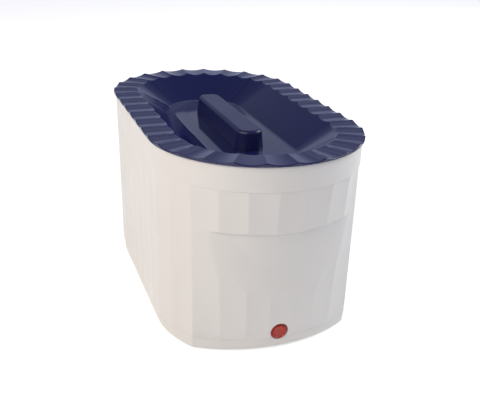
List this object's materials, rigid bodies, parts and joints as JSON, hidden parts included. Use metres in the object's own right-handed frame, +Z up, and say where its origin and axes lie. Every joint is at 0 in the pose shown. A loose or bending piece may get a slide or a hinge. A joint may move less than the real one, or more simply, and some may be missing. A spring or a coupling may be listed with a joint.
{
  "type": "paraffin bath",
  "caption": "Fluted oval tub with a heated tank inside, a lift-off dished lid with a bar handle, a loose grille on the tank floor and a red indicator lamp low on one end.",
  "frame": {"origin": "middle of the footprint, on the surface that the feet stand on", "axes": "+Z up, +Y along the length away from the lamp end, +X to the right seen from the lamp end"},
  "size_m": [0.222, 0.394, 0.21],
  "materials": {
    "housing": "satin",
    "lid": "gloss",
    "lid_handle": "gloss",
    "lamp_body": "satin",
    "lamp_lens": "gloss",
    "tank": "satin",
    "gasket": "matte",
    "grille": "satin",
    "heater_mat": "matte",
    "insulation": "matte",
    "straps": "matte",
    "sheet_steel": "satin",
    "steel": "satin",
    "sensor": "satin",
    "screw_steel": "satin",
    "feet": "matte",
    "inlet": "satin",
    "terminal_block": "satin",
    "brass": "satin",
    "lead_dark": "satin",
    "lead_green": "satin",
    "lead_light": "satin",
    "clips": "satin"
  },
  "bodies": {
    "base": {"housing": "housing", "lamp_body": "lamp_body", "lamp_lens": "lamp_lens", "tank": "tank", "tank_gasket": "gasket", "heater_mat": "heater_mat", "insulation_wrap": "insulation", "insulation_straps": "straps", "insulation_pad": "insulation", "retainer_plate": "sheet_steel", "tie_rods": "steel", "retainer_nuts": "steel", "tie_nuts": "steel", "thermostat": "sensor", "thermal_cutoff": "sensor", "sensor_studs": "steel", "sensor_nuts": "steel", "base_plate": "sheet_steel", "base_screws": "screw_steel", "feet": "feet", "power_inlet": "inlet", "terminal_block": "terminal_block", "block_screws": "brass", "earth_stud": "brass", "earth_tag": "brass", "earth_nut": "brass", "mains_leads": "lead_dark", "earth_lead": "lead_green", "control_lead": "lead_light", "link_lead": "lead_light", "heater_leads": "lead_light", "lamp_leads": "lead_dark", "lead_clips": "clips", "lamp_nut": "clips"},
    "loose_grille": {"grille": "grille"},
    "cover": {"lid": "lid", "lid_handle": "lid_handle", "handle_screws": "screw_steel"}
  },
  "joints": [
    {"name": "lid_lift", "type": "slide", "parent": "base", "child": "cover", "axis": [0, 0, 1], "range_m": [0, 0.15]},
    {"name": "grille_lift", "type": "slide", "parent": "base", "child": "loose_grille", "axis": [0, 0, 1], "range_m": [0, 0.1]}
  ]
}
